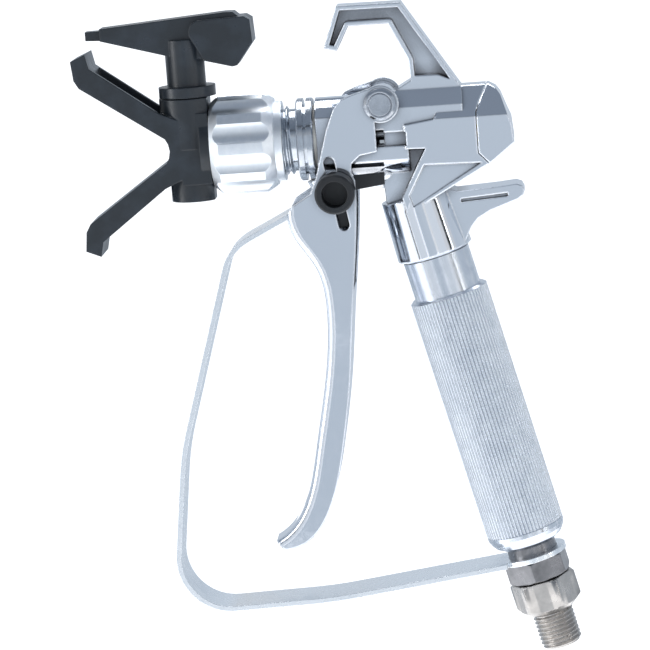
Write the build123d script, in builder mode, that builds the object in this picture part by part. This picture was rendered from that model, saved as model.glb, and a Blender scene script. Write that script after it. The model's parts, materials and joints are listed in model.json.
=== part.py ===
"""Airless paint sprayer: a hand-held spray gun with a turnable tip, built sub-part by sub-part.

Millimetres. The middle of the hose thread is the origin, +Z is up, +X is to the rear of the gun
and -Y is the gun's left side. Places on the gun are given from the crossing, the point where the
barrel axis meets the handle axis: x along the barrel and z above it, or s down the handle.
"""

from math import cos, radians, sin, tan
import os

from build123d import *

# ---- driving dimensions: the gun as a whole
grip_length = 87.8
handle_lean = 14.0  # how far the handle axis leans back from upright, in degrees
pivot_x, pivot_z = -4.0, 11.0  # trigger pivot
tip_x = -66.4  # upright axis of the spray tip

# ---- fits
running = 0.05  # radial clearance of a part that turns or slides in another
thread_gap = 0.08  # radial clearance between a thread's plain cylinders
part_gap = 0.3  # gap between covers and between parts that pass each other

# ---- body
barrel_r = 13.2
barrel_front = -25.3
flat_half = 10.9  # half the width over the two side flats between the trigger's cheeks
housing_half = 12.5  # half the width of the rear housing
hook_half = 6.0
hook_rim = 1.4  # rim round the pockets of the hook
hook_web = 1.5  # half the thickness of the web between the pockets
neck_top, neck_end = 20.5, 41.0  # the round column of the neck, down the handle axis
neck_top_r, neck_end_r = 11.7, 12.4
keel_half = 5.4  # half the width of the ridge down the front of the neck
duct_z, duct_r = -10.2, 2.2  # paint duct under the barrel
duct_wall = 2.6
tang_half = 6.5

# ---- needle valve
needle_r = 2.0
ball_r = 2.5
seat_x = -31.0  # centre of the closed ball
cross_x = -9.0  # cross pin that the trigger pulls
cross_r = 2.0
spring_r, spring_wire = 4.6, 1.1
spring_turns = 6
chamber_r = 6.0  # spring chamber
chamber_front, chamber_end = 1.5, 27.5
packing_r = 4.6
packing_front, packing_end = -16.5, -12.8

# ---- front end
seat_thread_r = 11.11  # 7/8-14 UNF, the thread that takes the tip guard's nut
seat_front = -54.0
ring_r = 13.3
ring_width, ring_groove = 2.2, 1.1
stub_r, stub_length = 8.2, 3.2  # thread of the seat housing in the body
nut_front, nut_rear = -59.5, -38.8
nut_r = 16.2
nut_collar_r, nut_collar = 12.9, 2.5
nut_flutes = 10
guard_half = 9.0  # half the width of the tip guard's arms
arm_thick = 6.8
arm_angle = 34.5
boss_r, foot_r = 9.4, 7.7
boss_top, boss_bottom = 16.2, -17.2
tip_r = 6.3
flange_r, flange_thick = 9.2, 3.4

# ---- handle and inlet
grip_r = 12.9
grip_top = 54.2  # down the handle axis
grip_flutes = 68
flute_depth = 0.5
sleeve_r = 11.0  # smooth top of the handle
handle_bore = 7.0
spigot_r, spigot_length = 8.4, 12.0
filter_r = 5.4
inlet_thread_r = 8.2
eyelet_r, strip_thick, strip_half = 11.0, 1.6, 8.5
eyelet_gap = 3.0  # from the grip to the guard's eyelet
hex_flats = 19.0
fitting_hex, swivel_gap, swivel_hex = 7.0, 0.5, 11.5
journal_r, journal_length = 4.6, 7.5
hose_thread_r = 6.75  # 1/4-18 NPSM
hose_thread_length = 12.0
waterway_r = 2.6

# ---- trigger
cheek_gap_half = 11.3  # inner faces of the cheeks
cheek_thick = 2.3
blade_half = 7.0  # half the width of the finger blade at its foot
pin_r = 2.9
pin_head_r = 5.1
lock_x, lock_z = -20.0, -15.8
knob_r, knob_length = 6.35, 9.5
lock_shaft_r = 3.0

# ---- stations down the handle axis, and the outer faces of the cheeks
cheek_half = cheek_gap_half + cheek_thick
grip_end = grip_top + grip_length
eyelet_top = grip_end + eyelet_gap
hex_top = eyelet_top + strip_thick
fitting_end = hex_top + fitting_hex
swivel_top = fitting_end + swivel_gap
swivel_end = swivel_top + swivel_hex
thread_end = swivel_end + hose_thread_length
handle_drop = swivel_end + hose_thread_length / 2  # to the origin

# ---- reference planes and axes
lean = radians(handle_lean)
down = Vector(sin(lean), 0, -cos(lean))
crossing = down * -handle_drop


def side(y=0.0):
    """Side view at y: first coordinate to the rear, second one up."""
    return Plane(origin=crossing + Vector(0, y, 0), x_dir=(1, 0, 0), z_dir=(0, -1, 0))


def across(x, z=0.0):
    """Square to the barrel at x: first coordinate to the right side, second one up."""
    return Plane(origin=crossing + Vector(x, 0, z), x_dir=(0, 1, 0), z_dir=(1, 0, 0))


def level(x, z):
    """Flat plane over the point (x, z), facing up."""
    return Plane(origin=crossing + Vector(x, 0, z), x_dir=(1, 0, 0), z_dir=(0, 0, 1))


def down_handle(s):
    """Square to the handle at s, facing down it: first coordinate to the right side."""
    return Plane(origin=crossing + down * s, x_dir=(0, 1, 0), z_dir=down)


barrel = side()
handle = Plane(origin=crossing, x_dir=down, z_dir=(0, -1, 0))
tip_line = Plane(origin=crossing + Vector(tip_x, 0, 0), x_dir=(0, 0, 1), z_dir=(0, -1, 0))


def outline(plane, *points):
    """A flat face with straight edges through the points."""
    with BuildSketch(plane) as drawing:
        with BuildLine():
            Polyline(*points, close=True)
        make_face()
    return drawing.sketch


def turn(plane, *points, mode=Mode.ADD):
    """A turned shape: each point is a distance along the plane's first axis and a radius."""
    revolve(outline(plane, *points), axis=Axis(plane.origin, plane.x_dir), mode=mode)


def rod(plane, start, end, radius, mode=Mode.ADD):
    """A plain cylinder along the plane's first axis."""
    turn(plane, (start, 0), (start, radius), (end, radius), (end, 0), mode=mode)


def slab(points, half, mode=Mode.ADD):
    """A side view outline, extruded to half a width each way."""
    extrude(outline(barrel, *points), amount=half, both=True, mode=mode)


def pin_hole(radius, mode=Mode.SUBTRACT):
    """A hole for the trigger pivot, right through the gun."""
    with BuildSketch(side()) as hole:
        with Locations((pivot_x, pivot_z)):
            Circle(radius)
    extrude(hole.sketch, amount=30, both=True, mode=mode)


def drop_at(s):
    """The point on the handle axis at s, as side view coordinates."""
    return s * sin(lean), -s * cos(lean)


def save(part, name):
    """Name a finished piece and write its file."""
    part.label = name
    export_step(part, "parts/" + name + ".step")


os.makedirs("parts", exist_ok=True)

# ---- gun body: barrel, rear housing, hook, neck and tang in one casting
housing_top, housing_ridge, cap_seam = 14.3, 5.0, 26.0
housing_front = 3.0
cap_edge = ((cap_seam + 3.9, 14.6), (cap_seam + 0.9, 8.8), (cap_seam, 6.3), (cap_seam, -6.7),
            (cap_seam + 3.4, -10.4))
hook_outer = ((-21.1, 29.2), (-16.2, 42.4), (4.2, 42.2), (22.2, 13.6))
hook_inner = ((0.5, 11.0), (0.9, 14.4), (6.0, 17.2), (5.7, 23.9), (0.1, 35.8), (-12.8, 35.8), (-16.9, 28.2))
housing_section = (
    (-4.5, housing_top), (4.5, housing_top), (housing_half, housing_ridge), (housing_half, -9.0),
    (housing_half - 1.5, -28.0), (1.5 - housing_half, -28.0), (-housing_half, -9.0),
    (-housing_half, housing_ridge),
)
duct_outer = duct_r + duct_wall
bulb_x, bulb_z, bulb_r = -4.6, -11.6, 6.0
groove_floor, groove_depth = 8.6, 0.9
panel_floor = housing_half - 1.15  # bottom of the recess in the housing's lower side panels

# ---- lug that carries the top end of the guard strip, square to the strip
lug_x, lug_z, lug_r = -23.2, -17.4, 4.4
strip_pitch = radians(26.0)
guard_screw_r = 1.6
lug_point = crossing + Vector(lug_x, 0, lug_z)
lug_line = Plane(origin=lug_point, x_dir=(-sin(strip_pitch), 0, cos(strip_pitch)), z_dir=(0, -1, 0))

with BuildPart() as housing:
    # rear housing: its side view cut to its section
    extrude(outline(barrel, (housing_front, 3.6), (12.6, 4.9), (14.9, 9.2), (14.9, housing_top), *cap_edge,
                    (2.4, -25.1), (0.9, -19.8), (9.4, -4.2), (housing_front, -4.0)),
            amount=housing_half, both=True)
    extrude(outline(across(0), *housing_section), amount=60, mode=Mode.INTERSECT)

with BuildPart() as gun_body:
    rod(barrel, barrel_front, housing_front + 1, barrel_r)
    slab(((barrel_front, -barrel_r), (housing_front + 1, -barrel_r), (housing_front + 1, barrel_r),
          (barrel_front, barrel_r)), flat_half, mode=Mode.INTERSECT)
    # shoulders between the barrel and the hook
    extrude(outline(across(-2), (-flat_half, -4), (-flat_half, 9.2), (-hook_half, 14.2), (hook_half, 14.2),
                    (flat_half, 9.2), (flat_half, -4)), amount=cap_seam - 2)
    add(housing.part)
    slab(hook_outer + hook_inner, hook_half)
    # core between the bulb and the housing, and the round neck
    slab(((-5.5, -5), (10, -5), (10, -22), (-4.5, -22)), keel_half)
    turn(handle, (neck_top, 0), (neck_top, neck_top_r), (neck_end - 1.4, neck_end_r),
         (neck_end - 0.7, neck_end_r),
         (neck_end - 0.2, neck_end_r - 0.8), (neck_end, sleeve_r + 0.3), (neck_end, 0))
    rod(barrel.offset(0).shift_origin(crossing + Vector(0, 0, duct_z)), barrel_front + 9, bulb_x,
        duct_outer)
    with Locations(crossing + Vector(bulb_x, 0, bulb_z)):
        Sphere(bulb_r)
    # tang over the web of the hand
    slab(((9, -14), (14.6, -16.2), (16.2, -18.6), (18.4, -19.4), (32, -18.7), (37.6, -18.2), (39.4, -18.9),
          (40.1, -20.4), (39.5, -22.0), (37.8, -23.2), (28.5, -26.4), (24.6, -28.6), (22.2, -31.4),
          (19.6, -36.5), (12, -36)), tang_half)
    # groove along both sides of the tang
    for face in (-1, 1):
        extrude(outline(side(face * (tang_half - groove_depth)), (19.5, -21.9), (34.6, -20.9),
                (34.6, -22.0),
                        (19.5, -23.0)), amount=-face * 2 * groove_depth, mode=Mode.SUBTRACT)
    # pockets in both sides of the hook
    for face in (-1, 1):
        with BuildSketch(side(face * hook_web)):
            with BuildLine():
                Polyline(*hook_outer, (14.5, 17.0), (6.0, 17.2), *hook_inner[3:], close=True)
            make_face()
            offset(amount=-hook_rim)
        extrude(amount=-face * hook_half, mode=Mode.SUBTRACT)
    # recess in the lower panel of both sides of the housing
    for face in (-1, 1):
        extrude(outline(side(face * panel_floor), (8.6, -9.4), (27.0, -9.9), (4.4, -22.9), (3.2, -19.2)),
                amount=-face * 3, mode=Mode.SUBTRACT)
    # boss round the trigger pivot
    with BuildSketch(side()):
        with Locations((pivot_x, pivot_z)):
            Circle(pin_r + 2.2)
    extrude(amount=flat_half, both=True)
    # rear bore: spring chamber and the thread of its plug
    rod(barrel, chamber_front, cap_seam + 6, chamber_r, mode=Mode.SUBTRACT)
    # needle guide, packing bore and the socket of the seat housing
    rod(barrel, packing_end - 1, chamber_front + 1, needle_r + running, mode=Mode.SUBTRACT)
    rod(barrel, packing_front - 3, packing_end, packing_r, mode=Mode.SUBTRACT)
    rod(barrel, barrel_front - 1, packing_front - 3 + 0.1, stub_r, mode=Mode.SUBTRACT)
    # slot that the cross pin travels in
    slab(((cross_x - cross_r - 0.6, -2.5), (cross_x + cross_r + 3.4, -2.5), (cross_x + cross_r + 3.4, 2.5),
          (cross_x - cross_r - 0.6, 2.5)), 20, mode=Mode.SUBTRACT)
    # grooves along both sides below the flats
    for face in (-1, 1):
        extrude(outline(side(face * groove_floor), (cross_x - cross_r - 0.6, -3.0),
                (housing_front + 0.5, -3.0),
                        (housing_front + 0.5, 1.6), (cross_x - cross_r - 0.6, 1.6)),
                amount=-face * flat_half, mode=Mode.SUBTRACT)
    # paint duct: up the handle, along under the barrel and into the seat chamber
    rod(handle, 8, neck_end - spigot_length, duct_r + 0.8, mode=Mode.SUBTRACT)
    rod(barrel.shift_origin(crossing + Vector(0, 0, duct_z)), barrel_front + 5.2, 4, duct_r,
        mode=Mode.SUBTRACT)
    with Locations(level(barrel_front + 4.6, duct_z)):
        Cylinder(duct_r, -duct_z, align=(Align.CENTER, Align.CENTER, Align.MIN), mode=Mode.SUBTRACT)
    # socket for the handle
    rod(handle, neck_end - spigot_length, neck_end + 1, spigot_r, mode=Mode.SUBTRACT)
    # trigger pivot
    pin_hole(pin_r)
    # lug under the barrel that takes the guard strip
    rod(lug_line, strip_thick / 2, 8.5, lug_r)
    rod(barrel, barrel_front - 8, barrel_front, ring_r + 0.6, mode=Mode.SUBTRACT)
    rod(barrel, barrel_front, barrel_front + 6, stub_r, mode=Mode.SUBTRACT)
    rod(lug_line, 0, 5.5, guard_screw_r, mode=Mode.SUBTRACT)
save(gun_body.part, "gun_body")

# ---- rear cover of the housing, a hollow shell with the housing's own section
cap_tail = ((cap_seam + 11.8, -4.2), (cap_seam + 11.2, 2.3), (cap_seam + 10.1, 5.0), (cap_seam + 8.2, 10.9),
            (cap_seam + 6.8, 13.0))
with BuildPart() as rear_cap:
    extrude(outline(barrel, *[(x + part_gap, z) for x, z in cap_edge], *cap_tail), amount=housing_half,
            both=True)
    extrude(outline(across(0), *housing_section), amount=60, mode=Mode.INTERSECT)
    rod(barrel, cap_seam - 2, cap_seam + 7.5, chamber_r + 1.6, mode=Mode.SUBTRACT)
save(rear_cap.part, "rear_cap")

# ---- plug that closes the spring chamber, with a socket for a hex key
plug_length = 7.0
with BuildPart() as spring_plug:
    rod(barrel, chamber_end - plug_length + 2, cap_seam + 6.4, chamber_r)
    with BuildSketch(across(cap_seam + 6.4)):
        RegularPolygon(2.9, 6)
    extrude(amount=-4, mode=Mode.SUBTRACT)
    rod(barrel, 0, cap_seam, needle_r + 0.6, mode=Mode.SUBTRACT)
save(spring_plug.part, "spring_plug")

# ---- needle: rod with a collar for the spring, its ball, and the cross pin that the trigger pulls
needle_tail = 14.0
cross_line = Plane(origin=crossing + Vector(cross_x, 0, 0), x_dir=(0, 1, 0), z_dir=(1, 0, 0))
collar_x, collar_thick = chamber_front + 3.4, 1.6
pin_reach = cheek_gap_half + 1.3  # the cross pin ends in blind pockets in the cheeks
with BuildPart() as needle_rod:
    turn(barrel, (seat_x + ball_r, 0), (seat_x + ball_r, 1.3), (seat_x + ball_r + 1.2, needle_r),
         (needle_tail, needle_r), (needle_tail, 0))
    rod(cross_line, -10, 10, cross_r * 0.6, mode=Mode.SUBTRACT)
save(needle_rod.part, "needle_rod")

with BuildPart() as needle_ball:
    with Locations(crossing + Vector(seat_x, 0, 0)):
        Sphere(ball_r)
save(needle_ball.part, "needle_ball")

with BuildPart() as cross_pin:
    turn(cross_line, (-pin_reach, 0), (-pin_reach, cross_r), (-needle_r - 1, cross_r),
         (-needle_r - 1, cross_r * 0.6),
         (needle_r + 1, cross_r * 0.6), (needle_r + 1, cross_r), (pin_reach, cross_r), (pin_reach, 0))
save(cross_pin.part, "cross_pin")

with BuildPart() as spring_collar:
    rod(barrel, collar_x, collar_x + collar_thick, chamber_r - 0.5)
    rod(barrel, collar_x, collar_x + collar_thick, needle_r, mode=Mode.SUBTRACT)
save(spring_collar.part, "spring_collar")

# ---- needle spring: a wire coil between the collar and the plug
spring_start = collar_x + collar_thick + spring_wire / 2
spring_end = chamber_end - plug_length + 2 - spring_wire / 2
with BuildPart() as needle_spring:
    with BuildLine() as coil:
        Helix((spring_end - spring_start) / spring_turns, spring_end - spring_start, spring_r,
              center=crossing + Vector(spring_start, 0, 0), direction=(1, 0, 0))
    with BuildSketch(Plane(origin=coil.line @ 0, z_dir=coil.line % 0)):
        Circle(spring_wire / 2)
    sweep()
save(needle_spring.part, "needle_spring")

# ---- packing round the needle and the nut that squeezes it
with BuildPart() as needle_packing:
    rod(barrel, packing_front, packing_end, packing_r)
    rod(barrel, packing_front, packing_end, needle_r + running, mode=Mode.SUBTRACT)
save(needle_packing.part, "needle_packing")

with BuildPart() as packing_nut:
    rod(barrel, packing_front - 2.6, packing_front, packing_r)
    rod(barrel, packing_front - 2.6, packing_front, needle_r + 0.3, mode=Mode.SUBTRACT)
save(packing_nut.part, "packing_nut")

# ---- seat housing: screws into the body, carries the tip guard's nut on its front thread
rings_rear = barrel_front - 0.8
rings_front = rings_rear - 2 * ring_width - ring_groove
seat_pocket_r = 5.2
with BuildPart() as seat_housing:
    turn(barrel, (barrel_front + stub_length, 0), (barrel_front + stub_length, stub_r),
         (rings_rear, stub_r),
         (rings_rear, ring_r - 0.5), (rings_rear - 0.5, ring_r), (rings_rear - ring_width, ring_r),
         (rings_rear - ring_width, ring_r - 2), (rings_front + ring_width, ring_r - 2),
         (rings_front + ring_width, ring_r), (rings_front + 0.5, ring_r), (rings_front, ring_r - 0.5),
         (rings_front, seat_thread_r - 1.1), (rings_front - 1.6, seat_thread_r - 1.1),
         (rings_front - 2.6, seat_thread_r), (seat_front + 1, seat_thread_r),
         (seat_front, seat_thread_r - 1),
         (seat_front, 0))
    rod(barrel, seat_front - 1, 0, 3.3, mode=Mode.SUBTRACT)
    rod(barrel, seat_x - 4.6, 0, seat_pocket_r, mode=Mode.SUBTRACT)
save(seat_housing.part, "seat_housing")

with BuildPart() as seat_gasket:
    rod(barrel, rings_rear, barrel_front, stub_r + 2.6)
    rod(barrel, rings_rear, barrel_front, stub_r, mode=Mode.SUBTRACT)
save(seat_gasket.part, "seat_gasket")

with BuildPart() as valve_seat:
    rod(barrel, seat_x - 4.6, seat_x - 0.8, seat_pocket_r)
    rod(barrel, seat_x - 6, seat_x, 1.4, mode=Mode.SUBTRACT)
    with Locations(crossing + Vector(seat_x, 0, 0)):
        Sphere(ball_r + 0.02, mode=Mode.SUBTRACT)
save(valve_seat.part, "valve_seat")

# ---- retaining nut with scalloped grip, and the wire ring that keeps the guard in it
guard_collar_r = 11.4
nut_bore_r = seat_thread_r + thread_gap
flute_r = 5.2
guard_flange_r = 12.6
guard_rear = seat_front - 0.5
with BuildPart() as retaining_nut:
    turn(barrel, (nut_front, guard_collar_r + running), (nut_front, nut_r - 2.6), (nut_front + 3.0, nut_r),
         (nut_rear - 3.4, nut_r), (nut_rear, nut_r - 2.2), (nut_rear, nut_collar_r),
         (nut_rear + nut_collar, nut_collar_r),
         (nut_rear + nut_collar, nut_bore_r), (guard_rear + part_gap, nut_bore_r),
         (guard_rear + part_gap, guard_flange_r + running), (nut_front + 2.2, guard_flange_r + running),
         (nut_front + 2.2, guard_collar_r + running))
    with BuildSketch(across(nut_front - 1)):
        with PolarLocations(nut_r + flute_r - 1.5, nut_flutes, start_angle=180 / nut_flutes):
            Circle(flute_r)
    extrude(amount=nut_rear - nut_front + 1, mode=Mode.SUBTRACT)
save(retaining_nut.part, "retaining_nut")

with BuildPart() as guard_ring:
    with BuildSketch(across(nut_front + 2.2)):
        Circle(guard_flange_r + running)
        Circle(guard_collar_r + running, mode=Mode.SUBTRACT)
    extrude(amount=0.8)
save(guard_ring.part, "guard_ring")

# ---- tip guard: two arms in a V, the boss for the tip and the collar that the nut holds
apex_x = tip_x - 7.6
arm_reach = 26.3
arm_front = apex_x - arm_reach
apex_half = 3.9
arm_inner = apex_half + arm_reach * tan(radians(arm_angle))
tip_bend = 10.8
rail = 2.0


def spray_side(way):
    """The blunt bottom of the V and the inner edge of one arm."""
    return [(x, way * z) for x, z in ((apex_x + 1.3, 0), (apex_x + 0.9, 2.2), (apex_x, apex_half),
                                      (arm_front, arm_inner))]


def arm_points(way):
    """Side view of one arm: way is 1 for the upper one and -1 for the lower one."""
    points = (
        (arm_front - 1.5, arm_inner + 2.6), (arm_front - 2.1, arm_inner + tip_bend - 2),
        (arm_front + 2.7, arm_inner + tip_bend), (arm_front + 3.7, arm_inner + 6.1),
        (apex_x - 1.0, apex_half + arm_thick + 1.4), (tip_x + 5.5, apex_half + arm_thick - 4.8),
        (tip_x + 5.5, 0),
    )
    return spray_side(way) + [(x, way * z) for x, z in points]


def trough_points(way):
    """Side view of the hollow between the two rails of one arm."""
    floor, end_wall = 3.6, 5.0
    slope = tan(radians(arm_angle))
    points = (
        (apex_x - 1.0, apex_half + floor), (arm_front + end_wall, arm_inner - end_wall * slope + floor),
        (arm_front + end_wall, arm_inner + 15), (apex_x - 1.0, arm_inner + 15),
    )
    return [(x, way * z) for x, z in points]


with BuildPart() as tip_guard:
    for way in (1, -1):
        slab(arm_points(way), guard_half)
    # the web of each arm is thin: the outer side is a trough between two rails
    for way in (1, -1):
        slab(trough_points(way), guard_half - rail, mode=Mode.SUBTRACT)
    for end, radius in ((boss_top, boss_r), (boss_bottom, foot_r)):
        with BuildSketch(level(tip_x, 0)) as boss:
            Circle(radius)
            with Locations((nut_front - part_gap - tip_x, 0)):
                Rectangle(boss_r, 3 * boss_r, align=(Align.MIN, Align.CENTER), mode=Mode.SUBTRACT)
        extrude(boss.sketch, amount=end)
    rod(barrel, nut_front - 3.4, nut_front + 3.2 + part_gap, guard_collar_r)
    slab(((tip_x - 3, -11.5), (nut_front - part_gap, -11.5), (nut_front - part_gap, 11.5),
         (tip_x - 3, 11.5)),
         guard_half)
    rod(barrel, nut_front + 3.2 + part_gap, guard_rear, guard_flange_r)
    # the V is clear of the boss as well
    slab(spray_side(1) + spray_side(-1)[:0:-1], boss_r + 1, mode=Mode.SUBTRACT)
    # passage for the spray, bore for the tip, and the socket for the saddle seal
    turn(barrel, (apex_x - 2, 0), (apex_x - 2, 4.0), (tip_x, 2.6), (tip_x, 0), mode=Mode.SUBTRACT)
    rod(barrel, tip_x, seat_front, 7.6, mode=Mode.SUBTRACT)
    rod(tip_line, boss_bottom + 2.4, boss_top + 1, tip_r + running, mode=Mode.SUBTRACT)
save(tip_guard.part, "tip_guard")

# ---- saddle seal between the seat housing and the tip's barrel
with BuildPart() as saddle_seal:
    rod(barrel, tip_x + 1, guard_rear - 1.2, 7.6)
    rod(barrel, tip_x, seat_front, 2.0, mode=Mode.SUBTRACT)
    rod(tip_line, -30, 30, tip_r + 0.02, mode=Mode.SUBTRACT)
save(saddle_seal.part, "saddle_seal")

with BuildPart() as tip_gasket:
    rod(barrel, guard_rear - 1.2, seat_front, 7.4)
    rod(barrel, guard_rear - 2, seat_front, 2.6, mode=Mode.SUBTRACT)
save(tip_gasket.part, "tip_gasket")

# ---- reversible tip: steel barrel with its orifice, and the plastic key that turns it
with BuildPart() as tip_barrel:
    rod(tip_line, boss_bottom + 3.0, boss_top - 1, tip_r)
    rod(barrel, tip_x - 8, tip_x + 8, 2.4, mode=Mode.SUBTRACT)
save(tip_barrel.part, "tip_barrel")

with BuildPart() as tip_orifice:
    rod(barrel, tip_x - 4.0, tip_x + 4.5, 2.4)
    turn(barrel, (tip_x - 5, 0), (tip_x - 5, 1.2), (tip_x - 2, 0.3), (tip_x + 1, 0.3), (tip_x + 5, 1.8),
         (tip_x + 5, 0), mode=Mode.SUBTRACT)
save(tip_orifice.part, "tip_orifice")

key_base = 29.0
pointer_nose = 26.4
plate_half, key_half, nose_half = 7.0, 4.5, 2.6
with BuildPart() as tip_key:
    rod(tip_line, boss_top - 1, key_base + 6, tip_r)
    rod(tip_line, boss_top + part_gap, boss_top + part_gap + flange_thick, flange_r)
    # pointer, narrower towards its nose
    slab(((tip_x - pointer_nose, 36.3), (tip_x - 5.4, 30.2), (tip_x + 7, 28.4), (tip_x + 16.5, 28.0),
          (tip_x + 19.5, 40.6), (tip_x + 17.0, 42.8), (tip_x + 14.0, 42.9),
          (tip_x - pointer_nose, 40.2)), key_half)
    slab(((tip_x - pointer_nose - 4.9, 36.6), (tip_x - pointer_nose + 0.5, 36.3),
         (tip_x - pointer_nose + 0.5, 39.5),
          (tip_x - pointer_nose - 4.9, 39.4)), nose_half)
    # number plate with a blank face
    slab(((tip_x + 2.6, 38.0), (tip_x + 3.4, 40.0), (tip_x + 5.6, 41.0), (tip_x + 20.6, 41.4),
         (tip_x + 22.4, 40.2),
          (tip_x + 22.8, 33.0), (tip_x + 17.4, 25.9), (tip_x + 15.8, 25.6), (tip_x + 7.0, 28.0),
          (tip_x + 2.6, 36.2)),
         plate_half)
save(tip_key.part, "tip_key")

# ---- handle: smooth sleeve, fluted grip, threaded ends
with BuildPart() as handle_grip:
    rod(handle, neck_end - spigot_length + 1, neck_end + 1, spigot_r)
    rod(handle, neck_end + part_gap, grip_top + 1, sleeve_r)
    turn(handle, (grip_top, 0), (grip_top, grip_r - 0.9), (grip_top + 0.7, grip_r),
         (grip_end - 4.5, grip_r),
         (grip_end - 3.2, grip_r - 0.5), (grip_end - 1.4, grip_r - 1.8), (grip_end, grip_r - 4.2),
         (grip_end, 0))
    rod(handle, 0, grip_end + 1, handle_bore, mode=Mode.SUBTRACT)
    rod(handle, grip_end - 14, grip_end + 1, inlet_thread_r, mode=Mode.SUBTRACT)
    with BuildSketch(down_handle(grip_top + 0.7)):
        with PolarLocations(grip_r + 0.1, grip_flutes):
            Circle(flute_depth + 0.1)
    extrude(amount=grip_end - grip_top - 6.5, mode=Mode.SUBTRACT)
save(handle_grip.part, "handle_grip")

with BuildPart() as handle_seal:
    rod(handle, neck_end - spigot_length, neck_end - spigot_length + 1, spigot_r)
    rod(handle, 0, neck_end, duct_r + 1.2, mode=Mode.SUBTRACT)
save(handle_seal.part, "handle_seal")

# ---- filter in the handle: a mesh tube on a core, with a cap at its top
filter_top, filter_end = neck_end - spigot_length + 6, grip_end - 17
with BuildPart() as filter_screen:
    rod(handle, filter_top + 3, filter_end, filter_r)
    rod(handle, filter_top, filter_end + 1, filter_r - 0.8, mode=Mode.SUBTRACT)
save(filter_screen.part, "filter_screen")

with BuildPart() as filter_core:
    rod(handle, filter_top, filter_top + 3, handle_bore - 0.3)
    rod(handle, filter_top + 3, filter_end, filter_r - 0.8)
    rod(handle, filter_end, filter_end + 3, handle_bore - 0.3)
    rod(handle, filter_top - 1, filter_end + 4, 2.4, mode=Mode.SUBTRACT)
save(filter_core.part, "filter_core")

# ---- inlet fitting: screws into the handle, clamps the guard's eyelet and carries the swivel
hex_corner = hex_flats / 2 / cos(radians(30))
with BuildPart() as inlet_fitting:
    rod(handle, grip_end - 13, hex_top + 1, inlet_thread_r - thread_gap)
    turn(handle, (grip_end + 0.3, 0), (grip_end + 0.3, inlet_thread_r - 1.6),
         (eyelet_top, inlet_thread_r - 1.6), (eyelet_top, 0))
    with BuildSketch(down_handle(hex_top)):
        RegularPolygon(hex_corner, 6, rotation=8)
    extrude(amount=fitting_end - hex_top)
    # corners of the hex turned off at both ends
    turn(handle, (0, 0), (0, hex_corner - 1.2), (hex_top, hex_corner - 1.2), (hex_top + 0.8, hex_corner),
         (fitting_end - 0.8, hex_corner), (fitting_end, hex_corner - 1.2),
         (fitting_end, 0), mode=Mode.INTERSECT)
    turn(handle, (fitting_end - 1, 0), (fitting_end - 1, journal_r),
         (fitting_end + journal_length, journal_r),
         (fitting_end + journal_length, 0))
    turn(handle, (fitting_end + 5.4, journal_r + 1), (fitting_end + 5.4, journal_r - 0.7),
         (fitting_end + 6.3, journal_r - 0.7), (fitting_end + 6.3, journal_r + 1), mode=Mode.SUBTRACT)
    turn(handle, (fitting_end + 2.2, journal_r + 1), (fitting_end + 2.2, journal_r - 1.3),
         (fitting_end + 4.0, journal_r - 1.3), (fitting_end + 4.0, journal_r + 1), mode=Mode.SUBTRACT)
    rod(handle, grip_end - 14, fitting_end + journal_length + 1, waterway_r, mode=Mode.SUBTRACT)
save(inlet_fitting.part, "inlet_fitting")

with BuildPart() as swivel_ring:
    rod(handle, fitting_end + 2.25, fitting_end + 3.95, journal_r)
    rod(handle, fitting_end + 2, fitting_end + 5, journal_r - 1.3, mode=Mode.SUBTRACT)
save(swivel_ring.part, "swivel_ring")

with BuildPart() as swivel_clip:
    with BuildSketch(down_handle(fitting_end + 5.4)):
        Circle(journal_r + 0.7)
        Circle(journal_r - 0.7, mode=Mode.SUBTRACT)
        with Locations((0, journal_r)):
            Rectangle(2.4, 3, mode=Mode.SUBTRACT)
    extrude(amount=0.9)
save(swivel_clip.part, "swivel_clip")

# ---- swivel: the second hex with the thread for the hose
with BuildPart() as hose_swivel:
    with BuildSketch(down_handle(swivel_top)):
        RegularPolygon(hex_corner, 6, rotation=35)
    extrude(amount=swivel_end - swivel_top)
    turn(handle, (swivel_top, 0), (swivel_top, hex_corner - 1.2), (swivel_top + 0.8, hex_corner),
         (swivel_end - 3.0, hex_corner), (swivel_end, hex_corner - 3.6),
         (swivel_end, 0), mode=Mode.INTERSECT)
    turn(handle, (swivel_end - 1, 0), (swivel_end - 1, hose_thread_r), (thread_end - 0.8, hose_thread_r),
         (thread_end, hose_thread_r - 0.8), (thread_end, 0))
    rod(handle, swivel_top - 1, fitting_end + journal_length + 0.6, journal_r + running, mode=Mode.SUBTRACT)
    rod(handle, fitting_end + 5.4 - 0.15, fitting_end + 6.3 + 0.15, journal_r + 0.8, mode=Mode.SUBTRACT)
    rod(handle, fitting_end, thread_end + 1, waterway_r, mode=Mode.SUBTRACT)
    turn(handle, (thread_end + 1, 0), (thread_end + 1, waterway_r + 3), (thread_end - 2.2, waterway_r),
         (thread_end - 2.2, 0), mode=Mode.SUBTRACT)
save(hose_swivel.part, "hose_swivel")

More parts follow.
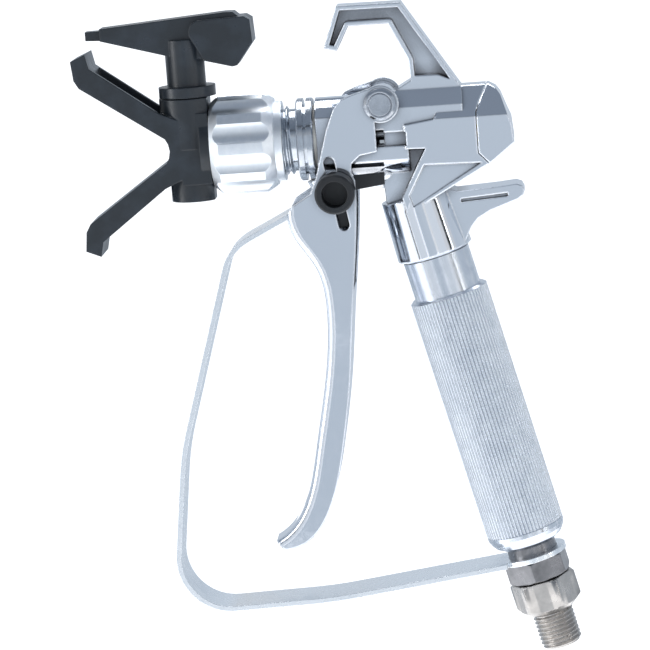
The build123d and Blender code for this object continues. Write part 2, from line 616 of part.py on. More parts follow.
# ---- trigger guard: a flat strip from the lug under the barrel round to an eyelet on the inlet
strip_top = (lug_x + lug_r * cos(strip_pitch), lug_z + lug_r * sin(strip_pitch))
knuckle_run = 33.0
knuckle = (lug_x - knuckle_run, lug_z - knuckle_run * tan(strip_pitch))
eyelet_mid = drop_at(eyelet_top + strip_thick / 2)
eyelet_edge = (eyelet_mid[0] - 9 * cos(lean), eyelet_mid[1] - 9 * sin(lean))
sole = (eyelet_mid[0] - 66, eyelet_mid[1] - 9.8)
heel = (sole[0] - 52.4, sole[1] - 1.8)
belly = (heel[0] + 6.6, heel[1] + 53)
with BuildPart() as trigger_guard:
    with BuildSketch(barrel):
        with BuildLine() as route:
            Polyline(strip_top, knuckle, belly, heel, sole, eyelet_edge)
            for corner, radius in ((knuckle, 15), (belly, 90), (heel, 17), (sole, 160)):
                fillet(route.vertices().sort_by_distance(corner)[0], radius)
        trace(line_width=strip_thick)
    extrude(amount=strip_half, both=True)
    rod(handle, eyelet_top, hex_top, eyelet_r)
    rod(handle, eyelet_top - 1, hex_top + 1, inlet_thread_r, mode=Mode.SUBTRACT)
    rod(lug_line, -3, 3, guard_screw_r + 0.15, mode=Mode.SUBTRACT)
save(trigger_guard.part, "trigger_guard")

with BuildPart() as guard_screw:
    turn(lug_line, (-strip_thick / 2 - 1.5, 0), (-strip_thick / 2 - 1.5, 2.2),
         (-strip_thick / 2 - 0.9, 3.0),
         (-strip_thick / 2, 3.0), (-strip_thick / 2, guard_screw_r), (4.8, guard_screw_r), (4.8, 0))
save(guard_screw.part, "guard_screw")

# ---- trigger: two cheeks on the pivot, joined by a web that runs down into the finger blade
cheek_front = ((-36.6, -23.3), (-34.8, -20.3), (-28.4, -16.5), (-26.1, -11.2), (-21.7, 3.9), (-19.0, 10.4),
               (-16.4, 13.2), (-13.0, 14.5), (pivot_x, pivot_z + 6.0))
cheek_rear = ((pivot_x, pivot_z), (-6.1, 8.0), (-6.1, -4.1), (-11.6, -5.0), (-14.4, -7.4), (-14.8, -10.2),
              (-13.6, -12.8), (-13.8, -19.1))
blade_rear = ((-13.8, -19.1), (-15.2, -36), (-17.8, -57), (-20.1, -77.8), (-24.2, -101.2), (-30.4, -121.9),
              (-36.7, -130.7), (-46.0, -134.0))
blade_front = ((-48.4, -131.0), (-42.5, -126.3), (-38.5, -120.0), (-33.0, -100.6), (-28.2, -77.3),
               (-26.0, -55.0),
               (-28.3, -40.8), (-34.6, -30.4), (-36.6, -23.3))
web_top = -25.2
taper_start = -44.0
front_round = 2.6
lock_slot = ((-21.6, -6.7), (-18.2, -26.9))
with BuildPart() as trigger:
    with BuildSketch(barrel):
        with BuildLine():
            Polyline(*cheek_front)
            Polyline(cheek_front[-1], *cheek_rear)
            Spline(*blade_rear)
            Line(blade_rear[-1], blade_front[0])
            Spline(*blade_front)
        make_face()
    extrude(amount=cheek_half, both=True)
    # seen from the front the blade narrows towards its foot
    with BuildSketch(across(0)) as front_view:
        with BuildLine():
            Line((cheek_half, 20), (cheek_half, taper_start))
            Spline((cheek_half, taper_start), (cheek_half - 1.6, taper_start - 20), (blade_half, -136),
                   tangents=((0, -1), (-0.06, -1)))
            Line((blade_half, -136), (-blade_half, -136))
            Spline((-blade_half, -136), (1.6 - cheek_half, taper_start - 20), (-cheek_half, taper_start),
                   tangents=((-0.06, 1), (0, 1)))
            Line((-cheek_half, taper_start), (-cheek_half, 20))
            Line((-cheek_half, 20), (cheek_half, 20))
        make_face()
    extrude(front_view.sketch, amount=60, both=True, mode=Mode.INTERSECT)
    long_edges = trigger.edges().filter_by(GeomType.BSPLINE)
    long_edges = long_edges.filter_by(lambda edge: edge.length > 20 and abs(edge.center().Y) > 5)
    fillet(long_edges.sort_by(Axis.X)[:4], front_round)
    # channel between the cheeks, closed at the front by the web
    slab(((-45, 25), (-45, web_top), (-33.7, web_top), (-31.6, -31.4), (-25.8, -42.0), (-23.6, -49),
         (-19.0, -49),
          (-5, -49), (8, -20), (8, 25)), cheek_gap_half, mode=Mode.SUBTRACT)
    # eyes round the pivot
    for face in (-1, 1):
        with BuildSketch(side(face * cheek_gap_half)) as eye:
            with Locations((pivot_x, pivot_z)):
                Circle(6.0)
        extrude(eye.sketch, amount=-face * (cheek_half - cheek_gap_half))
    pin_hole(pin_r + running)
    # blind pockets for the ends of the cross pin
    with BuildSketch(side()) as pocket:
        with Locations((cross_x + 0.1, 0.4)):
            SlotOverall(2 * cross_r + 1.8, 2 * cross_r + 0.6, rotation=90)
    extrude(pocket.sketch, amount=cheek_gap_half + 1.5, both=True, mode=Mode.SUBTRACT)
    # keyway in the near cheek, through which the lock goes in, and its round seat
    with BuildSketch(side(-cheek_gap_half + 1)) as keyway:
        with BuildLine():
            Line(*lock_slot)
        trace(line_width=3.6)
        with Locations(*lock_slot):
            Circle(1.8)
        with Locations((lock_x, lock_z)):
            Circle(lock_shaft_r + running)
    extrude(keyway.sketch, amount=6, mode=Mode.SUBTRACT)
save(trigger.part, "trigger")

# ---- trigger pivot: pin with a head on the near side, screw with the same head on the far side
head_thick = 2.6
pin_line = Plane(origin=crossing + Vector(pivot_x, 0, pivot_z), x_dir=(0, 1, 0), z_dir=(1, 0, 0))
head_start = cheek_half + 0.15
with BuildPart() as pivot_pin:
    turn(pin_line, (-head_start - head_thick, 0), (-head_start - head_thick, pin_head_r - 1.6),
         (-head_start - head_thick + 0.6, pin_head_r - 1.6),
         (-head_start - head_thick + 0.2, pin_head_r - 1.2),
         (-head_start - head_thick + 0.2, pin_head_r - 0.8), (-head_start - head_thick + 1.0, pin_head_r),
         (-head_start, pin_head_r), (-head_start, pin_r), (head_start - 0.2, pin_r), (head_start - 0.2, 0))
    rod(pin_line, head_start - 9, head_start + 1, 1.5, mode=Mode.SUBTRACT)
save(pivot_pin.part, "pivot_pin")

with BuildPart() as pivot_screw:
    turn(pin_line, (head_start - 8, 0), (head_start - 8, 1.5), (head_start, 1.5), (head_start, pin_head_r),
         (head_start + head_thick - 0.8, pin_head_r), (head_start + head_thick, pin_head_r - 0.8),
         (head_start + head_thick, 0))
    with BuildSketch(side(head_start + head_thick)) as socket:
        with Locations((pivot_x, pivot_z)):
            RegularPolygon(2.3, 6)
    extrude(socket.sketch, amount=1.8, mode=Mode.SUBTRACT)
save(pivot_screw.part, "pivot_screw")

# ---- trigger lock: knob outside the cheek, arm and stop leg inside it
lock_line = Plane(origin=crossing + Vector(lock_x, 0, lock_z), x_dir=(0, 1, 0), z_dir=(1, 0, 0))
arm_face, arm_depth = -cheek_gap_half + 0.25, 2.1
leg_length, arm_length = 12.4, 15.6
with BuildPart() as trigger_lock:
    turn(lock_line, (-cheek_half - knob_length, 0), (-cheek_half - knob_length, knob_r - 0.5),
         (-cheek_half - knob_length + 0.5, knob_r), (-cheek_half - 0.9, knob_r),
         (-cheek_half - 0.3, knob_r - 0.6),
         (-cheek_half - 0.3, lock_shaft_r), (arm_face + arm_depth, lock_shaft_r), (arm_face + arm_depth, 0))
    turn(lock_line, (-cheek_half - knob_length - 1, 0), (-cheek_half - knob_length - 1, 4.15),
         (-cheek_half - 3.2, 4.15), (-cheek_half - 3.2, 0), mode=Mode.SUBTRACT)
    with BuildSketch(side(arm_face)) as arms:
        with Locations((lock_x, lock_z)):
            Circle(lock_shaft_r + 0.8)
        with BuildLine():
            Polyline((lock_x, lock_z + 2.6), (lock_x + 6, lock_z + 4.2),
                     (lock_x + arm_length, lock_z + 4.6),
                     (lock_x + arm_length, lock_z + 0.8), (lock_x + 6, lock_z - 0.4),
                     (lock_x, lock_z - 2.6), close=True)
        make_face()
        with BuildLine():
            Polyline((lock_x - 1.6, lock_z), (lock_x + 0.3, lock_z - leg_length),
                     (lock_x + 3.5, lock_z - leg_length + 0.6),
                     (lock_x + 1.7, lock_z), close=True)
        make_face()
    extrude(arms.sketch, amount=-arm_depth)
save(trigger_lock.part, "trigger_lock")
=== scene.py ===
"""Airless paint sprayer: finishes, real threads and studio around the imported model.

Laid out as a Blender add-on and run as a script: one operator for each group of pieces.
"""
import json
from math import cos, pi, radians, sin

import bpy
from bpy.props import FloatProperty, IntProperty, PointerProperty, StringProperty
from bpy.types import Operator, Panel, PropertyGroup
from mathutils import Matrix, Vector

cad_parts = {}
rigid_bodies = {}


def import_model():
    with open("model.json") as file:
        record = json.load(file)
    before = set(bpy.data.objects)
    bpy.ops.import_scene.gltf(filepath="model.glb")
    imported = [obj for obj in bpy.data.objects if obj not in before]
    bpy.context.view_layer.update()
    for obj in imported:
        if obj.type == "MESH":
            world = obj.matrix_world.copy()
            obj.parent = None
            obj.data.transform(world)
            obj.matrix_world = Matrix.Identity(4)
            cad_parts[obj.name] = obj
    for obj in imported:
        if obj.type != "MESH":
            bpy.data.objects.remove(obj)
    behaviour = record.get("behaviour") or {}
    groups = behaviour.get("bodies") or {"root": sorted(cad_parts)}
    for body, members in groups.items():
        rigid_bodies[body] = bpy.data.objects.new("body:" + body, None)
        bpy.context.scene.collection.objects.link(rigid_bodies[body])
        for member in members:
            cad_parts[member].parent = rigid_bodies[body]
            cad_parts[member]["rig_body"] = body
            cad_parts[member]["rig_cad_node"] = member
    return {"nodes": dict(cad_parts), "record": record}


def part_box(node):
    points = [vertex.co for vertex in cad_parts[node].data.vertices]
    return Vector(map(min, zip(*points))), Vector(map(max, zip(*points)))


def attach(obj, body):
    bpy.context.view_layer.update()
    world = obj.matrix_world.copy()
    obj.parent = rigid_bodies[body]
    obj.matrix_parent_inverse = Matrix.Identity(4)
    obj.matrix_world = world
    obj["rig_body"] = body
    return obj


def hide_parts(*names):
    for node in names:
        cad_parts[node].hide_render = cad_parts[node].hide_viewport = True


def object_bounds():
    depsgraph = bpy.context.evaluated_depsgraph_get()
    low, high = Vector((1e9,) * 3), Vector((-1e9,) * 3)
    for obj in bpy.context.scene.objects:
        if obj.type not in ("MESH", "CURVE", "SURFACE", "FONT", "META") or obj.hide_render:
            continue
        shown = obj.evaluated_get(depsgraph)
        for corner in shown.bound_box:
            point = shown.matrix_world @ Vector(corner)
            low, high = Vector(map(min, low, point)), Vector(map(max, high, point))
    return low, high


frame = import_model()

bl_info = {
    "name": "Airless Paint Sprayer",
    "version": (1, 0, 0),
    "blender": (4, 5, 0),
    "location": "3D View > Sidebar > Sprayer",
    "description": "Finishes, threads and studio of a hand-held airless paint sprayer",
    "category": "Object",
}

MM = 0.001
MERGE_WITHIN = 0.002 * MM
CUT_SNAP = 0.001 * MM
SMOOTH_BELOW = radians(28)
NODES = frame["nodes"]
CAD_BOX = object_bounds()

# ---- where things are: the handle leans from the hose thread up to the barrel
DOWN = Vector(frame["record"]["mounts"][0]["axis"]).normalized()
NUT_LOW, NUT_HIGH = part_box("retaining_nut")
BARREL_HEIGHT = (NUT_LOW.z + NUT_HIGH.z) / 2
HANDLE_DROP = -BARREL_HEIGHT / DOWN.z
CROSSING = DOWN * -HANDLE_DROP
HANDLE_LEAN = DOWN.angle(Vector((0, 0, -1)))


def by_barrel(x, y, z):
    """A point given in millimetres from where the handle's axis crosses the barrel's."""
    return CROSSING + Vector((x, y, z)) * MM


# ---- colours and node helpers
def linear(text):
    """An sRGB hex colour as linear red, green, blue and alpha."""
    parts = [int(text[i:i + 2], 16) / 255 for i in (1, 3, 5)]
    return tuple(p / 12.92 if p <= 0.04045 else ((p + 0.055) / 1.055) ** 2.4 for p in parts) + (1.0,)


def add_node(tree, kind, settings=None, links=None):
    """Add a node, set its properties or input sockets, and link its inputs."""
    node = tree.nodes.new(kind)
    for key, value in (settings or {}).items():
        if isinstance(key, str) and hasattr(node, key):
            setattr(node, key, value)
        else:
            node.inputs[key].default_value = value
    for key, socket in (links or {}).items():
        tree.links.new(socket, node.inputs[key])
    return node


def start_material(name):
    """A new material with only its output node, and the tree to fill."""
    material = bpy.data.materials.new(name)
    material.use_nodes = True
    material.node_tree.nodes.clear()
    return material, material.node_tree


def finish_material(material, tree, shader):
    """Link the shader to the output and hand the material back."""
    add_node(tree, "ShaderNodeOutputMaterial", links={"Surface": shader.outputs["BSDF"]})
    return material


def blend_colours(tree, first, second, factor):
    """Mix two hex colours by a factor socket."""
    return add_node(tree, "ShaderNodeMix", {"data_type": "RGBA", 6: linear(first), 7: linear(second)},
                    {0: factor}).outputs[2]


def spread(tree, source, low, high, out_low, out_high):
    """Map a socket's range low..high to out_low..out_high."""
    return add_node(tree, "ShaderNodeMapRange",
                    {"From Min": low, "From Max": high, "To Min": out_low, "To Max": out_high},
                    {"Value": source}).outputs["Result"]


# ---- finishes
def chromed_die_casting(colour):
    """Bright chrome plate over a zinc or aluminium die casting.

    The plate follows the casting's long soft waves, so reflections swim a little; edges are
    rounded by the polishing wheel and catch a thin highlight, and corners, creases and pockets
    get painted shade: an ambient-occlusion mask darkens the base colour there.
    """
    material, tree = start_material("chrome_plated_die_casting")
    place = add_node(tree, "ShaderNodeTexCoord").outputs["Object"]
    waves = add_node(tree, "ShaderNodeTexNoise", {"Scale": 90.0, "Detail": 1.0}, {"Vector": place})
    film = add_node(tree, "ShaderNodeTexNoise", {"Scale": 420.0, "Detail": 4.0, "Roughness": 0.6},
                    {"Vector": place})
    rounded = add_node(tree, "ShaderNodeBevel", {"samples": 6, "Radius": 0.8 * MM})
    bump = add_node(tree, "ShaderNodeBump", {"Strength": 0.3, "Distance": 0.08 * MM},
                    {"Height": waves.outputs["Fac"], "Normal": rounded.outputs["Normal"]})
    roughness = spread(tree, film.outputs["Fac"], 0.3, 0.7, 0.05, 0.1)
    # painted shade: ambient occlusion darkens the base colour towards #4A4748 in corners, creases and
    # pockets
    corner = add_node(tree, "ShaderNodeAmbientOcclusion", {"samples": 6, "Distance": 5.0 * MM})
    painted_shade_mask = spread(tree, corner.outputs["AO"], 0.25, 0.85, 0.0, 1.0)
    shader = add_node(tree, "ShaderNodeBsdfPrincipled", {"Metallic": 1.0},
                      {"Base Color": blend_colours(tree, "#4A4748", colour, painted_shade_mask),
                       "Roughness": roughness, "Normal": bump.outputs["Normal"]})
    return finish_material(material, tree, shader)


def along(tree, axis_tilt, scale):
    """Object coordinates turned about Y, so that a band pattern runs square to a leaning axis."""
    place = add_node(tree, "ShaderNodeTexCoord").outputs["Object"]
    return add_node(tree, "ShaderNodeMapping", {"Rotation": (0, axis_tilt, 0), "Scale": scale},
                    {"Vector": place}).outputs["Vector"]


def turned_metal(name, colour, shade, rough_low, rough_high, lathe_mm, tilt, direction, relief,
                 edge_mm):
    """Metal turned or drawn: fine rings from the tool, lathe_mm apart, which stretch the highlights."""
    material, tree = start_material(name)
    place = along(tree, tilt, (1, 1, 1))
    rings = add_node(tree, "ShaderNodeTexWave",
                     {"bands_direction": direction, "Scale": pi / 10 / (lathe_mm * MM),
                      "Distortion": 0.6, "Detail": 2.0, "Detail Scale": 0.4}, {"Vector": place})
    wear = add_node(tree, "ShaderNodeTexNoise", {"Scale": 180.0, "Detail": 5.0, "Roughness": 0.65},
                    {"Vector": place})
    rounded = add_node(tree, "ShaderNodeBevel", {"samples": 4, "Radius": edge_mm * MM})
    bump = add_node(tree, "ShaderNodeBump", {"Strength": 0.5, "Distance": relief * MM},
                    {"Height": rings.outputs["Fac"], "Normal": rounded.outputs["Normal"]})
    roughness = spread(tree, wear.outputs["Fac"], 0.3, 0.7, rough_low, rough_high)
    tone = spread(tree, wear.outputs["Fac"], 0.4, 0.7, 0.0, 1.0)
    shader = add_node(tree, "ShaderNodeBsdfPrincipled", {"Metallic": 1.0},
                      {"Base Color": blend_colours(tree, colour, shade, tone), "Roughness": roughness,
                       "Normal": bump.outputs["Normal"]})
    return finish_material(material, tree, shader)


def moulded_plastic(name, colour, worn, rough_low, rough_high, grain_mm, edge_mm):
    """Injection-moulded plastic with a spark-eroded grain, a little shinier where hands rub it."""
    material, tree = start_material(name)
    place = add_node(tree, "ShaderNodeTexCoord").outputs["Object"]
    grain = add_node(tree, "ShaderNodeTexNoise", {"Scale": 1 / (grain_mm * MM), "Detail": 3.0},
                     {"Vector": place})
    rubbed = add_node(tree, "ShaderNodeTexNoise", {"Scale": 120.0, "Detail": 4.0}, {"Vector": place})
    rounded = add_node(tree, "ShaderNodeBevel", {"samples": 6, "Radius": edge_mm * MM})
    bump = add_node(tree, "ShaderNodeBump", {"Strength": 0.35, "Distance": 0.03 * MM},
                    {"Height": grain.outputs["Fac"], "Normal": rounded.outputs["Normal"]})
    roughness = spread(tree, rubbed.outputs["Fac"], 0.3, 0.7, rough_high, rough_low)
    tone = spread(tree, rubbed.outputs["Fac"], 0.45, 0.8, 0.0, 1.0)
    shader = add_node(tree, "ShaderNodeBsdfPrincipled", {"IOR": 1.5},
                      {"Base Color": blend_colours(tree, colour, worn, tone), "Roughness": roughness,
                       "Normal": bump.outputs["Normal"]})
    return finish_material(material, tree, shader)


def woven_mesh():
    """Stainless filter gauze: crossing wires with dark openings.

    The real 60 mesh is too fine to show, so it is drawn coarser.
    """
    material, tree = start_material("stainless_gauze")
    place = along(tree, HANDLE_LEAN, (1, 1, 1))
    warp, weft = (add_node(tree, "ShaderNodeTexWave", {"bands_direction": way, "Scale": 520.0},
                           {"Vector": place}) for way in "ZX")
    cross = add_node(tree, "ShaderNodeMath", {"operation": "MAXIMUM"},
                     {0: warp.outputs["Fac"], 1: weft.outputs["Fac"]}).outputs["Value"]
    bump = add_node(tree, "ShaderNodeBump", {"Strength": 0.8, "Distance": 0.1 * MM}, {"Height": cross})
    shader = add_node(tree, "ShaderNodeBsdfPrincipled", {"Metallic": 1.0, "Roughness": 0.35},
                      {"Base Color": blend_colours(tree, "#2A2A2A", "#B5B5B2", cross),
                       "Normal": bump.outputs["Normal"]})
    return finish_material(material, tree, shader)


# ---- mesh helpers
def deselect():
    """Select nothing."""
    bpy.ops.object.select_all(action="DESELECT")


def make_active(piece):
    """Select one piece and make it the active one."""
    deselect()
    piece.select_set(True)
    bpy.context.view_layer.objects.active = piece


def dress(node_names, material):
    """Give CAD nodes a material by their slots."""
    for name in node_names:
        slots = NODES[name].data.materials
        slots.clear()
        slots.append(material)


def clean_normals(piece):
    """Merge doubles and turn all faces outwards."""
    make_active(piece)
    bpy.ops.object.mode_set(mode="EDIT")
    bpy.ops.mesh.select_all(action="SELECT")
    bpy.ops.mesh.remove_doubles(threshold=MERGE_WITHIN)
    bpy.ops.mesh.normals_make_consistent(inside=False)
    bpy.ops.object.mode_set(mode="OBJECT")
    bpy.ops.object.shade_smooth_by_angle(angle=SMOOTH_BELOW)


def copy_cut_at(node, name, point, outward):
    """A merged copy of a CAD node, cut off past a plane; its open ring is bridged to the bore."""
    piece = NODES[node].copy()
    piece.data = NODES[node].data.copy()
    piece.name = name
    piece.parent = None
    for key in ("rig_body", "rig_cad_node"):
        del piece[key]
    bpy.context.scene.collection.objects.link(piece)
    make_active(piece)
    bpy.ops.object.mode_set(mode="EDIT")
    bpy.ops.mesh.select_all(action="SELECT")
    bpy.ops.mesh.remove_doubles(threshold=MERGE_WITHIN)
    bpy.ops.mesh.bisect(plane_co=point, plane_no=outward, clear_outer=True, use_fill=False,
                        threshold=CUT_SNAP)
    bpy.ops.mesh.select_mode(type="EDGE")
    bpy.ops.mesh.select_all(action="DESELECT")
    bpy.ops.object.mode_set(mode="OBJECT")
    for edge in piece.data.edges:
        ends = [piece.data.vertices[v].co for v in edge.vertices]
        edge.select = all(abs((co - point).dot(outward)) < 0.003 * MM for co in ends)
    bpy.ops.object.mode_set(mode="EDIT")
    bpy.ops.mesh.bridge_edge_loops()
    bpy.ops.object.mode_set(mode="OBJECT")
    bpy.ops.object.shade_smooth_by_angle(angle=SMOOTH_BELOW)
    return piece


def turned_piece(name, start, axis, profile, steps=96):
    """A piece turned about axis from start; its closed profile is (along, radius) in millimetres."""
    deselect()
    bpy.ops.mesh.primitive_circle_add(vertices=len(profile), fill_type="NOTHING")
    piece = bpy.context.active_object
    piece.name = name
    for vertex, (height, out) in zip(piece.data.vertices, profile):
        vertex.co = (out * MM, 0, height * MM)
    turning = piece.modifiers.new("turning", "SCREW")
    turning.axis = "Z"
    turning.steps = turning.render_steps = steps
    bpy.ops.object.modifier_apply(modifier=turning.name)
    piece.matrix_world = Matrix.Translation(start) @ axis.to_track_quat("Z", "Y").to_matrix().to_4x4()
    make_active(piece)
    bpy.ops.object.transform_apply(location=True, rotation=True, scale=True)
    clean_normals(piece)
    return piece


def bore_out(piece, length, bores):
    """Cut round bores, each (start, end, radius) in metres along the piece's Z."""
    for start, end, radius in bores:
        deselect()
        bpy.ops.mesh.primitive_cylinder_add(vertices=48, radius=radius, depth=end - start,
                                            location=(0, 0, (start + end) / 2))
        cutter = bpy.context.active_object
        make_active(piece)
        cut = piece.modifiers.new("bore", "BOOLEAN")
        cut.operation = "DIFFERENCE"
        cut.solver = "EXACT"
        cut.object = cutter
        bpy.ops.object.modifier_apply(modifier=cut.name)
        bpy.data.objects.remove(cutter)


def screw_thread(name, start, axis, length, radius, pitch, depth, relief, bores, per_turn=72):
    """A rod with a real 60-degree helical thread along axis from start; the end is chamfered."""
    deselect()
    bpy.ops.mesh.primitive_circle_add(vertices=5, radius=radius, fill_type="NOTHING")
    piece = bpy.context.active_object
    piece.name = name
    root = radius - depth
    profile = ((0.0, root), (0.36 * pitch, radius), (0.48 * pitch, radius), (0.84 * pitch, root),
               (pitch, root))
    for vertex, (height, out) in zip(piece.data.vertices, profile):
        vertex.co = (out, 0, height - pitch)
    bpy.ops.object.mode_set(mode="EDIT")
    bpy.ops.mesh.select_mode(type="EDGE")
    bpy.ops.mesh.select_all(action="DESELECT")
    bpy.ops.object.mode_set(mode="OBJECT")
    for edge in piece.data.edges:
        edge.select = set(edge.vertices) == {0, 4}
    bpy.ops.object.mode_set(mode="EDIT")
    bpy.ops.mesh.delete(type="EDGE")
    bpy.ops.object.mode_set(mode="OBJECT")
    screw = piece.modifiers.new("thread", "SCREW")
    screw.axis = "Z"
    screw.screw_offset = pitch
    screw.iterations = int(length / pitch) + 3
    screw.steps = screw.render_steps = per_turn
    bpy.ops.object.modifier_apply(modifier=screw.name)
    bpy.ops.object.mode_set(mode="EDIT")
    bpy.ops.mesh.select_all(action="SELECT")
    bpy.ops.mesh.remove_doubles(threshold=MERGE_WITHIN)
    for height, way in ((0.0, -1), (length, 1)):
        bpy.ops.mesh.select_all(action="SELECT")
        bpy.ops.mesh.bisect(plane_co=(0, 0, height), plane_no=(0, 0, way), clear_outer=True,
                            use_fill=True, threshold=CUT_SNAP)
    bpy.ops.mesh.select_all(action="SELECT")
    bpy.ops.mesh.normals_make_consistent(inside=False)
    bpy.ops.object.mode_set(mode="OBJECT")
    for vertex in piece.data.vertices:
        out = vertex.co.to_2d().length
        limit = radius - max(0.0, depth * 1.1 - (length - vertex.co.z))
        if vertex.co.z < relief:
            limit = min(limit, root)
        if out > limit:
            vertex.co.x *= limit / out
            vertex.co.y *= limit / out
    bore_out(piece, length, bores)
    piece.matrix_world = Matrix.Translation(start) @ axis.to_track_quat("Z", "Y").to_matrix().to_4x4()
    make_active(piece)
    bpy.ops.object.transform_apply(location=True, rotation=True, scale=True)
    clean_normals(piece)
    return piece


# ---- settings
class SprayerFinish(PropertyGroup):
    """Colours of the finishes, as sRGB hex."""
    chrome: StringProperty(name="Chrome", description="Tint of the chrome plate", default="#E4E8EE")
    handle: StringProperty(name="Handle", description="Clear-anodised handle", default="#DADFE6")
    nut: StringProperty(name="Nut", description="Clear-anodised retaining nut", default="#F1F5F9")
    steel: StringProperty(name="Fittings", description="Turned stainless swivel and thread",
                          default="#C3BFBB")
    strip: StringProperty(name="Trigger guard", description="Zinc-plated steel strip",
                          default="#F2F5F8")
    plastic: StringProperty(name="Black plastic", description="Moulded tip guard and key",
                            default="#1C232A")


class SprayerThreads(PropertyGroup):
    """Sizes of the two visible threads."""
    hose_radius: FloatProperty(name="Hose thread radius",
                               description="Half of the 1/4-18 NPSM major diameter",
                               default=6.75 * MM, unit="LENGTH", subtype="DISTANCE")
    hose_pitch: FloatProperty(name="Hose thread pitch", description="18 threads per inch",
                              default=25.4 / 18 * MM, unit="LENGTH", subtype="DISTANCE")
    guard_radius: FloatProperty(name="Guard thread radius",
                                description="Half of the 7/8-14 UNF major diameter",
                                default=11.11 * MM, unit="LENGTH", subtype="DISTANCE")
    guard_pitch: FloatProperty(name="Guard thread pitch", description="14 threads per inch",
                               default=25.4 / 14 * MM, unit="LENGTH", subtype="DISTANCE")
    per_turn: IntProperty(name="Steps per turn", description="Faces round one turn of a thread",
                          default=72, min=24)


class SprayerStudio(PropertyGroup):
    """Camera and light."""
    azimuth: FloatProperty(name="Azimuth", description="How far the camera stands round to the right",
                           default=radians(4.0), subtype="ANGLE", unit="ROTATION")
    elevation: FloatProperty(name="Elevation", description="How far the camera looks down",
                             default=radians(9.6), subtype="ANGLE", unit="ROTATION")
    roll: FloatProperty(name="Roll", description="Tilt of the picture", default=radians(4.3),
                        subtype="ANGLE", unit="ROTATION")
    distance: FloatProperty(name="Distance", description="From the camera to the gun", default=1.048,
                            unit="LENGTH", subtype="DISTANCE")
    lens: FloatProperty(name="Lens", description="Focal length in millimetres", default=180.0)
    paper: StringProperty(name="Backdrop", description="Colour of the floor", default="#F4F4F4")
    softbox: FloatProperty(name="Softbox power", description="Watts of the overhead softbox",
                           default=11.0)
    sky: FloatProperty(name="Fill", description="Strength of the even fill light", default=0.9)


# ---- operators
class SPRAYER_OT_castings(Operator):
    """Chrome the gun body, its rear cap and the trigger."""
    bl_idname = "sprayer.castings"
    bl_label = "Chromed castings"

    def execute(self, context):
        dress(["gun_body", "rear_cap", "trigger"],
              chromed_die_casting(context.scene.sprayer_finish.chrome))
        return {"FINISHED"}


class SPRAYER_OT_handle(Operator):
    """Satin anodised finish over the handle's lengthwise flutes."""
    bl_idname = "sprayer.handle"
    bl_label = "Handle"

    def execute(self, context):
        material = turned_metal("clear_anodised_aluminium", context.scene.sprayer_finish.handle,
                                "#CBD1DA", 0.2, 0.26, 0.7, -HANDLE_LEAN, "Z", 0.003, 0.08)
        dress(["handle_grip"], material)
        return {"FINISHED"}


class SPRAYER_OT_nut(Operator):
    """Satin anodised retaining nut."""
    bl_idname = "sprayer.nut"
    bl_label = "Retaining nut"

    def execute(self, context):
        material = turned_metal("satin_anodised_nut", context.scene.sprayer_finish.nut,
                                "#E2E8EF", 0.34, 0.44, 0.5, 0.0, "X", 0.006, 0.35)
        dress(["retaining_nut"], material)
        return {"FINISHED"}


class SPRAYER_OT_plastics(Operator):
    """Black mouldings: the tip guard, the tip's key and the trigger lock."""
    bl_idname = "sprayer.plastics"
    bl_label = "Black mouldings"

    def execute(self, context):
        colour = context.scene.sprayer_finish.plastic
        dress(["tip_guard", "tip_key"],
              moulded_plastic("satin_black_acetal", colour, "#2D353E", 0.26, 0.4, 0.5, 0.6))
        dress(["trigger_lock"],
              moulded_plastic("matt_black_acetal", "#12161B", "#1C2127", 0.36, 0.5, 0.4, 0.5))
        return {"FINISHED"}


class SPRAYER_OT_strip(Operator):
    """Zinc-plated trigger guard with its screw and the pivot's hardware."""
    bl_idname = "sprayer.strip"
    bl_label = "Trigger guard"

    def execute(self, context):
        colour = context.scene.sprayer_finish.strip
        dress(["trigger_guard"],
              turned_metal("zinc_plated_strip", colour, "#E2E7EC", 0.2, 0.34, 0.8, 0.0, "Y", 0.006,
                           0.3))
        dress(["guard_screw", "pivot_pin", "pivot_screw"],
              turned_metal("bright_plated_steel", "#C9CDD3", "#AEB3BA", 0.12, 0.24, 0.4, 0.0, "X",
                           0.006, 0.3))
        return {"FINISHED"}


class SPRAYER_OT_inner_parts(Operator):
    """Springs, needle, seats, seals and the filter."""
    bl_idname = "sprayer.inner_parts"
    bl_label = "Inner parts"

    def execute(self, context):
        dress(["needle_spring", "guard_ring", "swivel_clip"],
              turned_metal("music_wire", "#9A9A9A", "#6E6E70", 0.25, 0.4, 0.4, 0.0, "X", 0.004, 0.1))
        dress(["needle_rod", "cross_pin", "spring_collar", "tip_barrel"],
              turned_metal("ground_tool_steel", "#BFC0C2", "#9C9DA0", 0.16, 0.3, 0.4, 0.0, "X", 0.004,
                           0.2))
        dress(["valve_seat", "needle_ball", "tip_orifice"],
              turned_metal("sintered_carbide", "#8A8B8E", "#6F7074", 0.25, 0.4, 0.3, 0.0, "X", 0.002,
                           0.1))
        dress(["packing_nut", "spring_plug"],
              turned_metal("turned_brass", "#C9A45A", "#A8833F", 0.22, 0.38, 0.5, 0.0, "X", 0.01, 0.2))
        dress(["swivel_ring", "tip_gasket"],
              moulded_plastic("nitrile_rubber", "#131313", "#1E1E1E", 0.55, 0.75, 0.4, 0.1))
        dress(["saddle_seal"],
              moulded_plastic("acetal_seal", "#C9752A", "#D78A45", 0.35, 0.5, 0.5, 0.2))
        dress(["handle_seal", "needle_packing", "seat_gasket"],
              moulded_plastic("ptfe", "#E9E9E4", "#DADAD2", 0.45, 0.6, 0.5, 0.1))
        dress(["filter_core"],
              moulded_plastic("moulded_filter_core", "#D7C23A", "#C9B12E", 0.4, 0.55, 0.5, 0.2))
        dress(["filter_screen"], woven_mesh())
        return {"FINISHED"}


